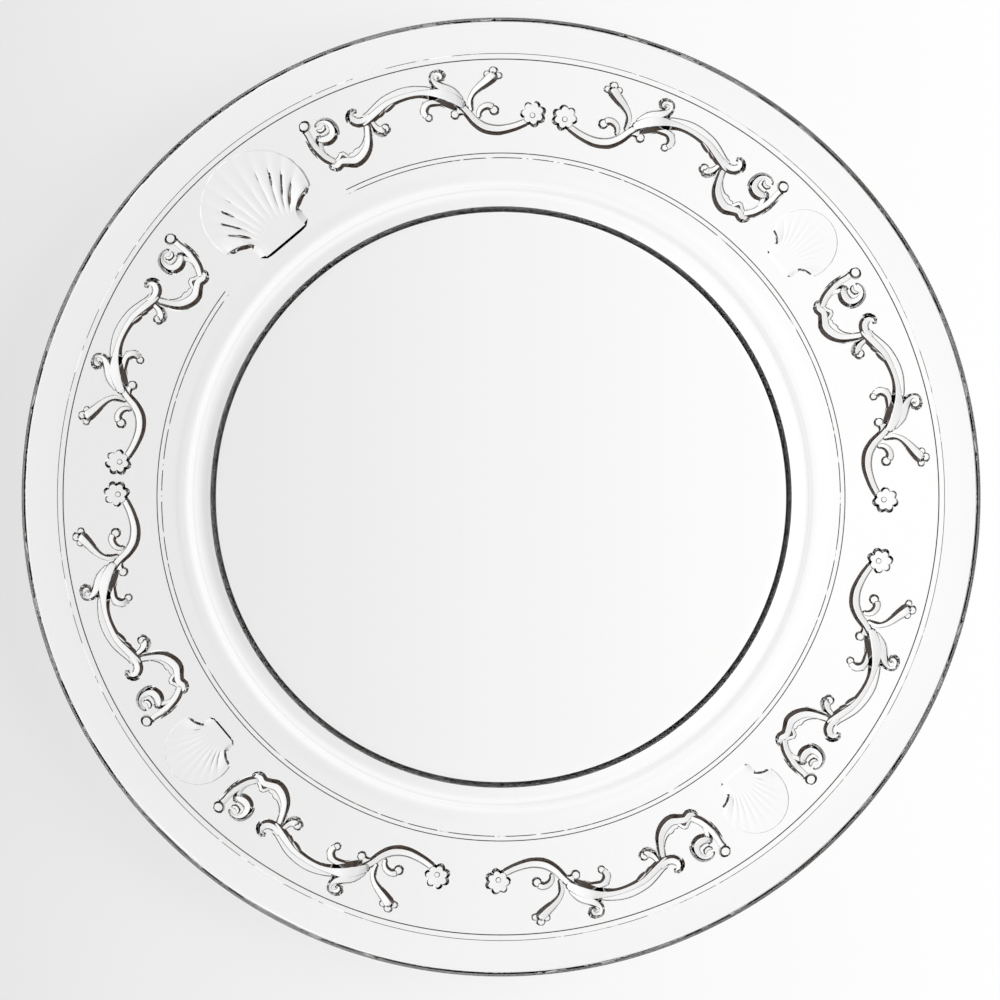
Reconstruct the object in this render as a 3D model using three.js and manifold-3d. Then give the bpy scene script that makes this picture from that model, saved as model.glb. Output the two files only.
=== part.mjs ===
// A clear pressed-glass dinner plate with moulded ornament under its rim.
// The face is smooth. The underside of the rim carries eight scrolled sprigs, one large and three
// small scallop shells and two beads. The plate stands on z = 0 with its centre on the Z axis, and
// the large shell lies on the +Y side.
import * as THREE from "three";
import { mergeVertices } from "three/addons/utils/BufferGeometryUtils.js";
import Module from "manifold-3d";

// Plate body, in millimetres, with the slope in degrees.
const PLATE_RADIUS = 135;
const PLATE_HEIGHT = 20;
const RIM_WIDTH = 41;
const RIM_SLOPE = 10;
const COVE_FACE_WIDTH = 15;
const COVE_UNDER_WIDTH = 10.8;
const PLINTH_HEIGHT = 2.15;
const PLINTH_DRAFT = 1.6;
const WELL_THICKNESS = 4.4;
const RIM_THICKNESS = 3.8;
const LIP_WIDTH = 9.6;
const LIP_THICKNESS = 2.6;
const EDGE_BEVEL = 1.2;
const EDGE_BAND = 0.7;
const EDGE_ROUND = 0.4;

// Beads: two raised threads that border the ornament.
const BEAD_WIDTH = 1.8;
const BEAD_DEPTH = 0.8;
const INNER_BEAD_SETBACK = 2.2;
const INNER_BEAD_CLEARANCE = 7;

// Ornament under the rim. The gap keeps each piece just clear of the glass that carries it.
const SEAT_GAP = 0.3;
const RELIEF_DEPTH = 1.3;
const CREST_SHARE = 0.5;
const LARGE_SHELL_WIDTH = 31.2;
const LARGE_SHELL_SETBACK = 0.3;
const LARGE_SHELL_BEAD_GAP = 1;
const LARGE_SHELL_TO_SPRIG = 6;
const SMALL_SHELL_WIDTH = 18.4;
const SMALL_SHELL_HEIGHT = 18.7;
const SMALL_SHELL_BEAD_GAP = 2.4;
const SMALL_SHELL_TO_SPRIG = 4;
const SPRIG_PAIR_GAP = 2.2;
const SPRIG_INNER_GAP = 4.7;
const SPRIG_OUTER_GAP = 1.3;
const SHELL_PLATE_DEPTH = 0.6;
const SHELL_RIBS = 11;

// Fineness of the facets.
const ROUND_SEGMENTS = 96;
const COVE_STEPS = 6;
const BOSS_SEGMENTS = 8;

// Radii and heights that follow from the sizes above.
const RIM_RISE = Math.tan(THREE.MathUtils.degToRad(RIM_SLOPE));
const RIM_INNER_RADIUS = PLATE_RADIUS - RIM_WIDTH;
const WELL_FLOOR_RADIUS = RIM_INNER_RADIUS - COVE_FACE_WIDTH;
const COVE_FOOT_RADIUS = RIM_INNER_RADIUS - COVE_UNDER_WIDTH;
const BASE_RADIUS = COVE_FOOT_RADIUS - PLINTH_DRAFT;
const LIP_RADIUS = PLATE_RADIUS - LIP_WIDTH;
const INNER_BEAD_RADIUS = RIM_INNER_RADIUS + INNER_BEAD_SETBACK + BEAD_WIDTH / 2;
const BAND_INNER = INNER_BEAD_RADIUS + BEAD_WIDTH / 2;
const BAND_OUTER = LIP_RADIUS - BEAD_WIDTH;
const BAND_RADIUS = (BAND_INNER + BAND_OUTER) / 2;
const LARGE_SHELL_BASE = RIM_INNER_RADIUS + LARGE_SHELL_SETBACK;
const LARGE_SHELL_HEIGHT = BAND_OUTER - LARGE_SHELL_BEAD_GAP - LARGE_SHELL_BASE;
const SMALL_SHELL_BASE = BAND_OUTER - SMALL_SHELL_BEAD_GAP - SMALL_SHELL_HEIGHT;

const wasm = await Module();
wasm.setup();

const glass = new THREE.MeshStandardMaterial({
  name: "clear_pressed_glass",
  color: 0xeef1ef,
  roughness: 0.04,
  metalness: 0,
  transparent: true,
  opacity: 0.4,
});

// Height of the rim's face at a radius.
function rimFace(radius) {
  return PLATE_HEIGHT - (PLATE_RADIUS - radius) * RIM_RISE;
}

// Height of the rim's underside at a radius: the lip thins towards the edge.
function rimUnderside(radius) {
  const taper = Math.max(0, (radius - LIP_RADIUS) / LIP_WIDTH);
  return rimFace(radius) - THREE.MathUtils.lerp(RIM_THICKNESS, LIP_THICKNESS, taper);
}

// A profile turned about the Z axis.
function turned(points) {
  return new THREE.LatheGeometry(points, ROUND_SEGMENTS).rotateX(Math.PI / 2);
}

// The plate itself: base plinth, well, cove and sloping rim in one turned body.
function plateBody() {
  const underHandle = COVE_UNDER_WIDTH / 2;
  const faceHandle = COVE_FACE_WIDTH / 2;
  const bevelRadius = PLATE_RADIUS - EDGE_BEVEL;
  const roundRadius = PLATE_RADIUS - EDGE_ROUND;
  const profile = new THREE.Path();
  profile.moveTo(0, 0);
  profile.lineTo(BASE_RADIUS, 0);
  profile.lineTo(COVE_FOOT_RADIUS, PLINTH_HEIGHT);
  profile.bezierCurveTo(
    COVE_FOOT_RADIUS + underHandle, PLINTH_HEIGHT,
    RIM_INNER_RADIUS - underHandle, rimUnderside(RIM_INNER_RADIUS - underHandle),
    RIM_INNER_RADIUS, rimUnderside(RIM_INNER_RADIUS),
  );
  profile.lineTo(LIP_RADIUS, rimUnderside(LIP_RADIUS));
  profile.lineTo(bevelRadius, rimUnderside(bevelRadius));
  profile.lineTo(PLATE_RADIUS, rimFace(roundRadius) - EDGE_ROUND - EDGE_BAND);
  profile.lineTo(PLATE_RADIUS, rimFace(roundRadius) - EDGE_ROUND);
  profile.lineTo(roundRadius, rimFace(PLATE_RADIUS));
  profile.lineTo(RIM_INNER_RADIUS, rimFace(RIM_INNER_RADIUS));
  profile.bezierCurveTo(
    RIM_INNER_RADIUS - faceHandle, rimFace(RIM_INNER_RADIUS - faceHandle),
    WELL_FLOOR_RADIUS + faceHandle, WELL_THICKNESS,
    WELL_FLOOR_RADIUS, WELL_THICKNESS,
  );
  profile.lineTo(0, WELL_THICKNESS);
  return turned(profile.getPoints(COVE_STEPS));
}

// The outer bead: a full ring of flat-topped section.
function outerBead() {
  const inner = BAND_OUTER;
  const outer = LIP_RADIUS;
  const crest = BEAD_WIDTH / 4;
  const seat = (radius) => rimUnderside(radius) - SEAT_GAP;
  const section = [
    new THREE.Vector2(inner, seat(inner)),
    new THREE.Vector2(inner + crest, seat(inner + crest) - BEAD_DEPTH),
    new THREE.Vector2(outer - crest, seat(outer - crest) - BEAD_DEPTH),
    new THREE.Vector2(outer, seat(outer)),
  ];
  return turned([...section, section[0]]);
}

// A closed solid from a three.js geometry, ready to be joined.
function solidOf(geometry) {
  const bare = new THREE.BufferGeometry();
  bare.setAttribute("position", geometry.getAttribute("position"));
  bare.setIndex(geometry.index);
  const merged = mergeVertices(bare, 1e-4);
  const mesh = new wasm.Mesh({
    numProp: 3,
    vertProperties: new Float32Array(merged.getAttribute("position").array),
    triVerts: new Uint32Array(merged.index.array),
  });
  return new wasm.Manifold(mesh);
}

// Corners of a stroke's section, as shares of its half width and of its crest's height.
const STROKE_SECTION = [[-1, 0], [1, 0], [CREST_SHARE, 1], [-CREST_SHARE, 1]];

// A stroke of the drawing: a raised ribbon along hand-set points [along, out, half width].
// Its sides slope in to a narrower crest, and it stands no deeper than it is half wide.
function ribbon(points, depth) {
  const positions = [];
  points.forEach(([along, out, half], i) => {
    const before = points[Math.max(i - 1, 0)];
    const after = points[Math.min(i + 1, points.length - 1)];
    const length = Math.hypot(after[0] - before[0], after[1] - before[1]);
    const acrossX = -(after[1] - before[1]) / length;
    const acrossY = (after[0] - before[0]) / length;
    const crest = Math.min(depth, half);
    for (const [side, height] of STROKE_SECTION) {
      positions.push(along + acrossX * half * side, out + acrossY * half * side, crest * height);
    }
  });
  const corners = STROKE_SECTION.length;
  const index = [0, 2, 1, 0, 3, 2];
  for (let ring = 0; ring < points.length - 1; ring += 1) {
    for (let corner = 0; corner < corners; corner += 1) {
      const a = ring * corners + corner;
      const b = ring * corners + (corner + 1) % corners;
      index.push(a, b, a + corners, b, b + corners, a + corners);
    }
  }
  const last = (points.length - 1) * corners;
  index.push(last, last + 1, last + 2, last, last + 2, last + 3);
  const geometry = new THREE.BufferGeometry();
  geometry.setAttribute("position", new THREE.Float32BufferAttribute(positions, 3));
  geometry.setIndex(index);
  return solidOf(geometry);
}

// A round boss of the drawing whose sides slope in to a flat crest.
function boss([along, out, radius], depth) {
  const geometry = new THREE.CylinderGeometry(
    radius * CREST_SHARE, radius, Math.min(depth, radius), BOSS_SEGMENTS,
  );
  geometry.rotateX(Math.PI / 2);
  return solidOf(geometry.translate(along, out, Math.min(depth, radius) / 2));
}

// The rosette: a low dome whose edge waves in and out once for each petal.
function rosette([along, out], { radius, petals, petalDepth }, depth) {
  const edge = [];
  for (let point = 0; point < 2 * petals; point += 1) {
    const angle = Math.PI * point / petals;
    const reach = point % 2 ? radius - petalDepth : radius;
    edge.push([Math.cos(angle) * reach, Math.sin(angle) * reach]);
  }
  const positions = [along, out, 0, along, out, depth];
  for (const [x, y] of edge) {
    positions.push(along + x, out + y, 0);
    positions.push(along + x * CREST_SHARE, out + y * CREST_SHARE, depth);
  }
  const index = [];
  for (let point = 0; point < edge.length; point += 1) {
    const a = 2 + 2 * point;
    const b = 2 + 2 * ((point + 1) % edge.length);
    index.push(0, b, a, a, b, a + 1, b, b + 1, a + 1, 1, a + 1, b + 1);
  }
  const geometry = new THREE.BufferGeometry();
  geometry.setAttribute("position", new THREE.Float32BufferAttribute(positions, 3));
  geometry.setIndex(index);
  return solidOf(geometry);
}

// Lays a drawing on the underside of the rim. place turns a point of the drawing into an angle
// about the Z axis and a radius, and the drawing's height becomes depth below its seat.
function seated(solid, place) {
  const mesh = solid.getMesh();
  const positions = [];
  for (let i = 0; i < mesh.vertProperties.length; i += mesh.numProp) {
    const [along, out, depth] = mesh.vertProperties.subarray(i, i + 3);
    const [angle, radius] = place(along, out);
    const height = rimUnderside(radius) - SEAT_GAP - depth;
    positions.push(radius * Math.cos(angle), radius * Math.sin(angle), height);
  }
  const geometry = new THREE.BufferGeometry();
  geometry.setAttribute("position", new THREE.Float32BufferAttribute(positions, 3));
  geometry.setIndex(new THREE.BufferAttribute(mesh.triVerts, 1));
  return geometry;
}

// The inner bead: a ring that is open where the large shell crosses it.
function innerBead() {
  const opening = (LARGE_SHELL_WIDTH / 2 + INNER_BEAD_CLEARANCE) / INNER_BEAD_RADIUS;
  const sweep = 2 * (Math.PI - opening);
  const points = [];
  for (let step = 0; step <= ROUND_SEGMENTS; step += 1) {
    points.push([sweep * INNER_BEAD_RADIUS * step / ROUND_SEGMENTS, 0, BEAD_WIDTH / 2]);
  }
  const place = (along, out) => [opening + along / INNER_BEAD_RADIUS, INNER_BEAD_RADIUS + out];
  return seated(ribbon(points, BEAD_DEPTH), place);
}

// A sprig as drawn on a flat strip. along runs from the shell that it flanks to the rosette,
// out runs from the inner bead to the outer one, and a point is [along, out, half width].
const SPRIG_STROKES = [
  // Tendril from the rosette to the stem.
  [[63.5, 9.1, 0.8], [60, 7.3, 0.9], [55.7, 6.4, 1], [51.5, 7.1, 1.15], [48.5, 9.2, 1.3],
    [46.8, 11.6, 1.3], [45, 14, 1.2]],
  // Main stem, arched along the band.
  [[46, 12.6, 1.3], [43, 15, 1.6], [39, 17.6, 2], [35, 19.4, 1.6], [30, 20, 1.4],
    [25, 19.6, 1.5], [21, 18, 1.5], [18, 15.8, 1.2], [16.5, 14.8, 1]],
  // Broad leaf that ends in a hooked tip.
  [[46, 14.3, 1.4], [42.5, 17.6, 2.2], [39.2, 20.4, 1.8], [38, 22.8, 1.1], [38.8, 24.4, 0.9],
    [40.4, 24, 0.8], [40.6, 22.6, 0.6]],
  // Tulip bud.
  [[46.6, 13.6, 0.6], [48.1, 16.4, 0.6], [49.5, 18.3, 0.8], [51.5, 20, 1.3], [53.5, 21.7, 1.8],
    [55.4, 23.2, 1.2]],
  // Curl inside the tendril, and the small hook on the stem's other side.
  [[47.5, 11, 0.9], [50.2, 13.2, 0.75], [52.5, 13.6, 0.7], [54.3, 13, 0.75], [54.7, 11.8, 0.8],
    [54.1, 11.1, 0.6]],
  [[47, 10.3, 0.6], [45, 12.2, 0.7], [43.2, 12, 0.8], [43, 11.1, 0.7]],
  // Leaf curled under the stem.
  [[35.5, 18.3, 1.5], [34.5, 15.3, 1.1], [34.2, 13.6, 1], [34.8, 12, 0.9], [35.7, 11.3, 0.8]],
  // Two curls where the stem meets the scroll.
  [[18.6, 16.4, 0.6], [19.3, 13.1, 0.8], [20.4, 11.2, 1], [22, 10.8, 0.9], [22.8, 12, 0.7],
    [22.1, 12.7, 0.5]],
  [[19.6, 17.2, 1], [16.5, 16, 0.8], [14.5, 16.6, 0.75], [13.7, 18.1, 0.7], [14.6, 19.1, 0.6],
    [15.5, 18.4, 0.5]],
  // Teeth of the acanthus leaf on the stem.
  [[26.5, 19.5, 0.9], [24, 17.4, 0.8], [22.2, 16, 0.4]],
  // The C-scroll at the shell's side, and its rising arm.
  [[17.1, 15.4, 0.9], [16.8, 11.8, 1], [15.8, 9.2, 1.2], [13.8, 7.2, 1.5], [11, 6.4, 1.7],
    [8, 7, 1.6], [5, 7.4, 1.4]],
  [[5.6, 7.3, 1], [2.8, 10.8, 1.1], [1.7, 13.6, 0.9], [1.4, 16.3, 0.7], [1.5, 20, 0.7]],
  // Stem and volute of the bud that sits in the scroll.
  [[3.6, 9.6, 0.6], [3, 13.3, 0.7], [3.7, 16.3, 0.7], [5.5, 14.6, 0.8], [7.8, 15, 0.8],
    [8.7, 17.3, 0.8], [7.7, 19.8, 0.8], [5.7, 20.4, 0.7]],
];
const SPRIG_BOSSES = [
  [1.45, 20.6, 1.45],
  [4.6, 6.2, 1.1],
  [6.2, 17.4, 2.8],
  [54.8, 24.1, 0.9],
  [56.4, 22.4, 1],
  [54.7, 20.8, 0.9],
];
// The rosette sits on the tendril's free end, a little further along and out.
const ROSETTE = { radius: 3.6, petals: 7, petalDepth: 0.7, ahead: 2.2, above: 2.2 };
const [TENDRIL_ALONG, TENDRIL_OUT] = SPRIG_STROKES[0][0];
const ROSETTE_PLACE = [TENDRIL_ALONG + ROSETTE.ahead, TENDRIL_OUT + ROSETTE.above];

const DRAWN_LENGTH = ROSETTE_PLACE[0] + ROSETTE.radius;
const DRAWN_LOW = Math.min(...SPRIG_STROKES.flat().map(([, out, half]) => out - half));
const DRAWN_HIGH = Math.max(...SPRIG_STROKES.flat().map(([, out, half]) => out + half));

const LARGE_SHELL_ANGLE = (LARGE_SHELL_WIDTH / 2 + LARGE_SHELL_TO_SPRIG) / BAND_RADIUS;
const SMALL_SHELL_ANGLE = (SMALL_SHELL_WIDTH / 2 + SMALL_SHELL_TO_SPRIG) / BAND_RADIUS;
const SPRIG_ANGLE = (Math.PI / 2 - LARGE_SHELL_ANGLE - SMALL_SHELL_ANGLE
  - SPRIG_PAIR_GAP / BAND_RADIUS) / 2;

// One scrolled sprig, from angle zero on round the band. All eight sprigs share it.
function sprig() {
  const pieces = SPRIG_STROKES.map((points) => ribbon(points, RELIEF_DEPTH));
  pieces.push(...SPRIG_BOSSES.map((place) => boss(place, RELIEF_DEPTH)));
  pieces.push(rosette(ROSETTE_PLACE, ROSETTE, RELIEF_DEPTH));
  const whole = pieces.reduce((joined, piece) => joined.add(piece));
  const lowest = BAND_INNER + SPRIG_INNER_GAP;
  const stretch = (BAND_OUTER - SPRIG_OUTER_GAP - lowest) / (DRAWN_HIGH - DRAWN_LOW);
  const place = (along, out) => [
    along / DRAWN_LENGTH * SPRIG_ANGLE,
    lowest + (out - DRAWN_LOW) * stretch,
  ];
  return seated(whole, place);
}

// A scallop shell as drawn at the large shell's size: a straight hinge towards the centre, a notch
// on each side of the neck and a round fan of ribs. Points are [across, out] from mid hinge. The
// fan's arc starts a dip angle below its middle, and the steps and fill are shares of a rib's
// length and of the space between two ribs.
const DRAWN_FAN_RADIUS = 15.6;
const DRAWN_SHELL_HEIGHT = 29.1;
const DRAWN_RIB_ORIGIN = 3.2;
const FAN_DIP = 11.5;
const RIB_SPREAD = 120;
const RIB_STEPS = [0.25, 0.6, 0.97];
const RIB_FILL = 0.9;
const SHELL_SIDE = [[7.2, 0], [7.5, 1.4], [6.9, 4.6], [8.6, 7], [10.9, 8.6], [14.5, 8.8]];

// One shell, stretched to its width and height, with its hinge at a radius.
function shell(width, height, hingeRadius) {
  const fanCentre = DRAWN_SHELL_HEIGHT - DRAWN_FAN_RADIUS;
  const fanDip = THREE.MathUtils.degToRad(FAN_DIP);
  const outline = new THREE.Shape();
  outline.moveTo(-SHELL_SIDE[0][0], SHELL_SIDE[0][1]);
  SHELL_SIDE.forEach(([across, out]) => outline.lineTo(across, out));
  outline.absarc(0, fanCentre, DRAWN_FAN_RADIUS, -fanDip, Math.PI + fanDip, false);
  SHELL_SIDE.toReversed().forEach(([across, out]) => outline.lineTo(-across, out));
  const slab = new THREE.ExtrudeGeometry(outline, {
    depth: SHELL_PLATE_DEPTH,
    bevelEnabled: false,
    curveSegments: 2 * SHELL_RIBS,
  });
  let whole = solidOf(slab);
  const ribAngle = THREE.MathUtils.degToRad(RIB_SPREAD) / SHELL_RIBS;
  const offset = fanCentre - DRAWN_RIB_ORIGIN;
  for (let rib = 0; rib < SHELL_RIBS; rib += 1) {
    const lean = ribAngle * (rib - (SHELL_RIBS - 1) / 2);
    const reach = offset * Math.cos(lean)
      + Math.sqrt(DRAWN_FAN_RADIUS ** 2 - (offset * Math.sin(lean)) ** 2);
    const points = RIB_STEPS.map((step) => [
      reach * step * Math.sin(lean),
      DRAWN_RIB_ORIGIN + reach * step * Math.cos(lean),
      reach * step * ribAngle * RIB_FILL / 2,
    ]);
    whole = whole.add(ribbon(points, RELIEF_DEPTH));
  }
  const place = (across, out) => {
    const x = across * width / (2 * DRAWN_FAN_RADIUS);
    const y = hingeRadius + out * height / DRAWN_SHELL_HEIGHT;
    return [Math.atan2(x, y), Math.hypot(x, y)];
  };
  return seated(whole, place);
}

// Puts a named mesh into a group.
function addPiece(group, name, geometry) {
  geometry.computeVertexNormals();
  const mesh = new THREE.Mesh(geometry, glass);
  mesh.name = name;
  group.add(mesh);
  return mesh;
}

const plate = new THREE.Group();
plate.name = "glass_plate";
addPiece(plate, "plate_body", plateBody());
addPiece(plate, "outer_bead", outerBead());
addPiece(plate, "inner_bead", innerBead()).rotation.z = Math.PI / 2;

// Each shell has a sprig on either side of it, and the second sprig mirrors the first.
const largeShell = shell(LARGE_SHELL_WIDTH, LARGE_SHELL_HEIGHT, LARGE_SHELL_BASE);
const smallShell = shell(SMALL_SHELL_WIDTH, SMALL_SHELL_HEIGHT, SMALL_SHELL_BASE);
const sprigShape = sprig();
const QUARTERS = [
  { shell: "large_shell_top", turn: 90, sprigs: ["sprig_top_left", "sprig_top_right"] },
  { shell: "small_shell_left", turn: 180, sprigs: ["sprig_left_lower", "sprig_left_upper"] },
  { shell: "small_shell_bottom", turn: 270, sprigs: ["sprig_bottom_right", "sprig_bottom_left"] },
  { shell: "small_shell_right", turn: 0, sprigs: ["sprig_right_upper", "sprig_right_lower"] },
];
for (const { shell: shellName, turn, sprigs } of QUARTERS) {
  const isLarge = shellName.startsWith("large");
  const start = isLarge ? LARGE_SHELL_ANGLE : SMALL_SHELL_ANGLE;
  const quarter = new THREE.Group();
  quarter.rotation.z = THREE.MathUtils.degToRad(turn);
  addPiece(quarter, shellName, isLarge ? largeShell : smallShell);
  const ahead = addPiece(quarter, sprigs[0], sprigShape);
  ahead.rotation.z = start;
  const behind = addPiece(quarter, sprigs[1], sprigShape);
  behind.scale.y = -1;
  behind.rotation.z = -start;
  plate.add(quarter);
}

export default plate;
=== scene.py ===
import math

import bpy
import numpy as np
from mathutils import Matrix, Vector


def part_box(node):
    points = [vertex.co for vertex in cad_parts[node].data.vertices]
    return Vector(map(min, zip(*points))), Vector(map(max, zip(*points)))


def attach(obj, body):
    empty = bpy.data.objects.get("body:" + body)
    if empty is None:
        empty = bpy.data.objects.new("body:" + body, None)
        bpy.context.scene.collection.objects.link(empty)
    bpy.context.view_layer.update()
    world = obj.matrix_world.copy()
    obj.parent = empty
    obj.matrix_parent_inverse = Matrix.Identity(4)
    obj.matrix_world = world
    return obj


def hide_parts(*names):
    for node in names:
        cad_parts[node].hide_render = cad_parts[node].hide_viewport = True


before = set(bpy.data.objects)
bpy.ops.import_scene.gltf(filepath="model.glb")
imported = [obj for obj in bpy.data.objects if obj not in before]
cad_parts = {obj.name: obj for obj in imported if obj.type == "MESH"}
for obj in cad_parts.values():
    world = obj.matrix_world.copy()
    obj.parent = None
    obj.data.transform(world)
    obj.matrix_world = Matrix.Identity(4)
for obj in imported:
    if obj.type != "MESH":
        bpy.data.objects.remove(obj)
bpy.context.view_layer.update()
scene = bpy.context.scene
scene.view_settings.view_transform = "Standard"
MM = 0.001


# The plate body
# One turned shape of clear pressed glass: a flat base plinth, the well, a cove and a wide rim that
# rises to a thin lip. The press leaves the face smooth, and the mould's corners come out rounded.
def add(tree, kind, inputs=(), **settings):
    """Adds a node. Settings are its properties, and inputs are values or other nodes' sockets."""
    node = tree.nodes.new(kind)
    for name, value in settings.items():
        setattr(node, name, value)
    for key, value in dict(inputs).items():
        if isinstance(value, bpy.types.NodeSocket):
            tree.links.new(value, node.inputs[key])
        else:
            node.inputs[key].default_value = value
    return node


def new_tree(name, **sizes):
    """An empty geometry tree with one named input for each size or thing, and its two end nodes."""
    tree = bpy.data.node_groups.new(name, "GeometryNodeTree")
    tree.interface.new_socket("Geometry", in_out="INPUT", socket_type="NodeSocketGeometry")
    tree.interface.new_socket("Geometry", in_out="OUTPUT", socket_type="NodeSocketGeometry")
    for size, value in sizes.items():
        kind = "NodeSocketObject" if isinstance(value, bpy.types.Object) else "NodeSocketFloat"
        kind = "NodeSocketInt" if isinstance(value, int) else kind
        kind = "NodeSocketMaterial" if isinstance(value, bpy.types.Material) else kind
        tree.interface.new_socket(size, in_out="INPUT", socket_type=kind)
    return tree, tree.nodes.new("NodeGroupInput"), tree.nodes.new("NodeGroupOutput")


def grown(seed, tree, name, **sizes):
    """Runs a geometry tree on a seed object and gives its result as an object with a plain mesh."""
    modifier = seed.modifiers.new(name, "NODES")
    modifier.node_group = tree
    for socket in tree.interface.items_tree:
        if socket.in_out == "INPUT" and socket.name in sizes:
            modifier[socket.identifier] = sizes[socket.name]
    shown = seed.evaluated_get(bpy.context.evaluated_depsgraph_get())
    mesh = bpy.data.meshes.new_from_object(shown)
    mesh.name = name
    bpy.data.objects.remove(seed)
    return linked(name, mesh)


def linked(name, mesh):
    """An object for a mesh, at the origin and in the scene."""
    thing = bpy.data.objects.new(name, mesh)
    scene.collection.objects.link(thing)
    return thing


def drawn(name, lines, closed=False, **columns):
    """Lines of points as a mesh of edges, in millimetres. Columns name further values of a point."""
    mesh = bpy.data.meshes.new(name)
    points = [point for line in lines for point in line]
    edges = []
    first = 0
    for line in lines:
        last = first + len(line) - 1
        edges += [(i, i + 1) for i in range(first, last)]
        edges += [(last, first)] if closed else []
        first = last + 1
    mesh.from_pydata([(point[0] * MM, point[1] * MM, 0) for point in points], edges, [])
    for label, column in columns.items():
        values = [point[column] for point in points]
        mesh.attributes.new(label, "FLOAT", "POINT").data.foreach_set("value", values)
    return linked(name, mesh)


plate_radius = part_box("plate_body")[1][0] / MM
plate_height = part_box("plate_body")[1][2] / MM
lip_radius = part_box("outer_bead")[1][0] / MM
inner_bead_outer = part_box("inner_bead")[1][0] / MM
RIM_SLOPE = math.radians(10)
RIM_INNER_RADIUS = 94
COVE_UNDER_RADIUS = 92.5
RIM_THICKNESS = 3.8
LIP_THICKNESS = 2.6
BASE_RADIUS = 81.6
PLINTH_HEIGHT = 2.15
PLINTH_DRAFT = 1.6
WELL_FLOOR_RADIUS = 78.8
WELL_THICKNESS = 4.4
EDGE_BEVEL = 1.2
EDGE_BAND = 0.7
EDGE_ROUND = 0.4
BEAD_WIDTH = 1.8
BEAD_DEPTH = 0.4
BEAD_WALL = 0.34
BEAD_STEP = 0.12
BEAD_STEP_DEPTH = 0.38
BEVEL_ROUNDING = 0.1
EDGE_ROUNDING = 0.2
TURNED_STEPS = 420
FILLET_POINTS = 3
COVE_STEPS = 14
# How far a cove's curve runs level from the flat, and in line with the rim, as shares of its width.
UNDER_COVE = 0.63, 0.44
FACE_COVE = 0.52, 0.43
WELD = 0.001


def rim_face(radius):
    return plate_height - (plate_radius - radius) * math.tan(RIM_SLOPE)


def rim_underside(radius):
    taper = max(0, (radius - lip_radius) / (plate_radius - lip_radius))
    return rim_face(radius) - RIM_THICKNESS + (RIM_THICKNESS - LIP_THICKNESS) * taper


def cove(start, end, flat_share, rim_share):
    """Points of a cubic curve, level at its start and in line with the rim at its end."""
    run = end[0] - start[0]
    handle_start = (start[0] + flat_share * run, start[1])
    handle_end = (end[0] - rim_share * run, end[1] - rim_share * run * math.tan(RIM_SLOPE))
    shares = np.linspace(0, 1, COVE_STEPS + 1)[:, None]
    corners = [np.array(point, dtype=float) for point in (start, handle_start, handle_end, end)]
    weights = [(1 - shares) ** 3, 3 * shares * (1 - shares) ** 2, 3 * shares ** 2 * (1 - shares)]
    curve = sum(weight * corner for weight, corner in zip(weights + [shares ** 3], corners))
    return [(radius, height, 0) for radius, height in curve]


foot = BASE_RADIUS + PLINTH_DRAFT
under_start = (foot, PLINTH_HEIGHT)
under_end = (COVE_UNDER_RADIUS, rim_underside(COVE_UNDER_RADIUS))
face_start = (WELL_FLOOR_RADIUS, WELL_THICKNESS)
face_end = (RIM_INNER_RADIUS, rim_face(RIM_INNER_RADIUS))
bead_inner = lip_radius - BEAD_WIDTH
bevel_radius = plate_radius - EDGE_BEVEL
round_radius = plate_radius - EDGE_ROUND
edge_top = rim_face(round_radius) - EDGE_ROUND
profile = [(0, 0, 0), (BASE_RADIUS, 0, 0), (foot, PLINTH_HEIGHT, 0)]
profile += cove(under_start, under_end, *UNDER_COVE)[1:]
profile += [
    (bead_inner, rim_underside(bead_inner), 0),
    (bead_inner + BEAD_WALL, rim_underside(bead_inner + BEAD_WALL) - BEAD_DEPTH, 0),
    (lip_radius - BEAD_STEP, rim_underside(lip_radius - BEAD_STEP) - BEAD_STEP_DEPTH, 0),
    (lip_radius, rim_underside(lip_radius), 0),
    (bevel_radius, rim_underside(bevel_radius), BEVEL_ROUNDING),
    (plate_radius, edge_top - EDGE_BAND, EDGE_ROUNDING),
    (plate_radius, edge_top, EDGE_ROUNDING),
    (round_radius, rim_face(plate_radius), EDGE_ROUNDING),
]
profile += reversed(cove(face_start, face_end, *FACE_COVE))
profile += [(0, WELL_THICKNESS, 0)]

# A section is swept with its first axis pointing away from the axis and its second one down, so
# the profile is drawn from the sweep's circle outwards and upside down.
sweep_radius = plate_radius
section_points = [(radius - sweep_radius, -height, size * MM) for radius, height, size in profile]
turning, given, result = new_tree("turned plate", sweep_radius=0.0, steps=1)
outline = add(turning, "GeometryNodeMeshToCurve", {"Mesh": given.outputs["Geometry"]})
rounding = add(turning, "GeometryNodeInputNamedAttribute", {"Name": "rounding"}, data_type="FLOAT")
filleted = add(turning, "GeometryNodeFilletCurve", mode="POLY", inputs={
    "Curve": outline.outputs["Curve"],
    "Count": FILLET_POINTS,
    "Radius": rounding.outputs["Attribute"],
    "Limit Radius": True,
})
circle = add(turning, "GeometryNodeCurvePrimitiveCircle", {
    "Resolution": given.outputs["steps"],
    "Radius": given.outputs["sweep_radius"],
})
upright = add(turning, "GeometryNodeSetCurveNormal", {"Curve": circle.outputs["Curve"]}, mode="Z_UP")
turned = add(turning, "GeometryNodeCurveToMesh", {
    "Curve": upright.outputs["Curve"],
    "Profile Curve": filleted.outputs["Curve"],
})
outward = add(turning, "GeometryNodeFlipFaces", {"Mesh": turned.outputs["Mesh"]})
joined = add(turning, "GeometryNodeMergeByDistance", {
    "Geometry": outward.outputs["Mesh"], "Distance": WELD * MM,
})
turning.links.new(joined.outputs["Geometry"], result.inputs["Geometry"])
body = grown(
    drawn("plate profile", [section_points], rounding=2),
    turning,
    "turned_body",
    sweep_radius=sweep_radius * MM,
    steps=TURNED_STEPS,
)


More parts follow.
